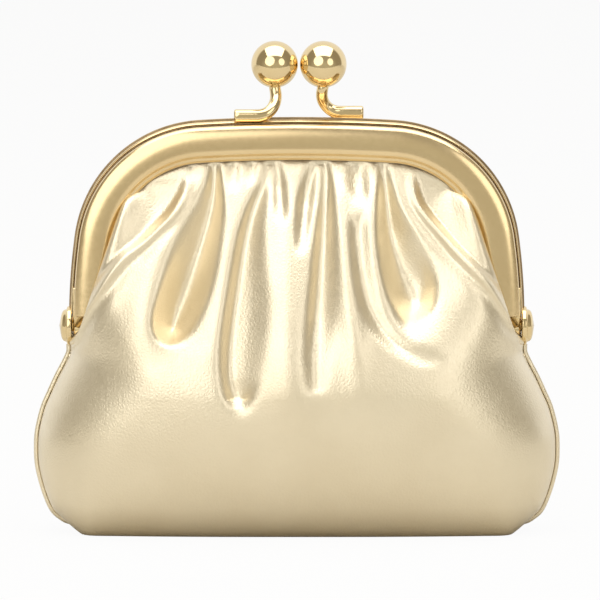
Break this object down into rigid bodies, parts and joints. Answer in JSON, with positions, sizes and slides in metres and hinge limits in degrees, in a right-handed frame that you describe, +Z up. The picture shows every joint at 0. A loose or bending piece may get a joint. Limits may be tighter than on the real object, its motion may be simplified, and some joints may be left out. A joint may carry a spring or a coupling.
{
  "type": "coin purse",
  "caption": "Small gathered leather coin purse on a hinged metal frame that closes with two interlocking ball clasps; it stands on its base and opens to both sides.",
  "frame": {"origin": "on the surface the purse stands on, under the middle of the closed purse", "axes": "+X to the right seen from the front and along the hinge axis, -Y out of the front panel, +Z up to the clasp balls"},
  "size_m": [0.098, 0.0378, 0.0918],
  "materials": {
    "satin_gold": "satin gold plating",
    "polished_gold": "polished gold plating",
    "gold_leather": "pale gold metallic foil on fine-grained leather",
    "lining_cloth": "plain woven lining",
    "paper_cord": "twisted kraft paper cord"
  },
  "bodies": {
    "bag": {"front_panel": "gold_leather", "back_panel": "gold_leather", "seam_welt": "gold_leather", "front_lining": "lining_cloth", "back_lining": "lining_cloth"},
    "front_half": {"front_frame": "satin_gold", "front_ball_stem": "polished_gold", "front_ball": "polished_gold", "front_paper_cord": "paper_cord"},
    "rear_half": {"rear_frame": "satin_gold", "rear_ball_stem": "polished_gold", "rear_ball": "polished_gold", "rear_paper_cord": "paper_cord", "left_hinge_rivet": "polished_gold", "right_hinge_rivet": "polished_gold"}
  },
  "joints": [
    {"name": "front_hinge", "type": "hinge", "parent": "bag", "child": "front_half", "pos_m": [0, 0, 0.0389], "axis": [1, 0, 0], "range_deg": [0, 45], "deforming": ["front_panel", "front_lining"]},
    {"name": "rear_hinge", "type": "hinge", "parent": "bag", "child": "rear_half", "pos_m": [0, 0, 0.0389], "axis": [-1, 0, 0], "range_deg": [0, 45], "deforming": ["back_panel", "back_lining"]}
  ],
  "couplings": [
    {"joint": "rear_hinge", "follows": "front_hinge", "ratio": 1}
  ]
}
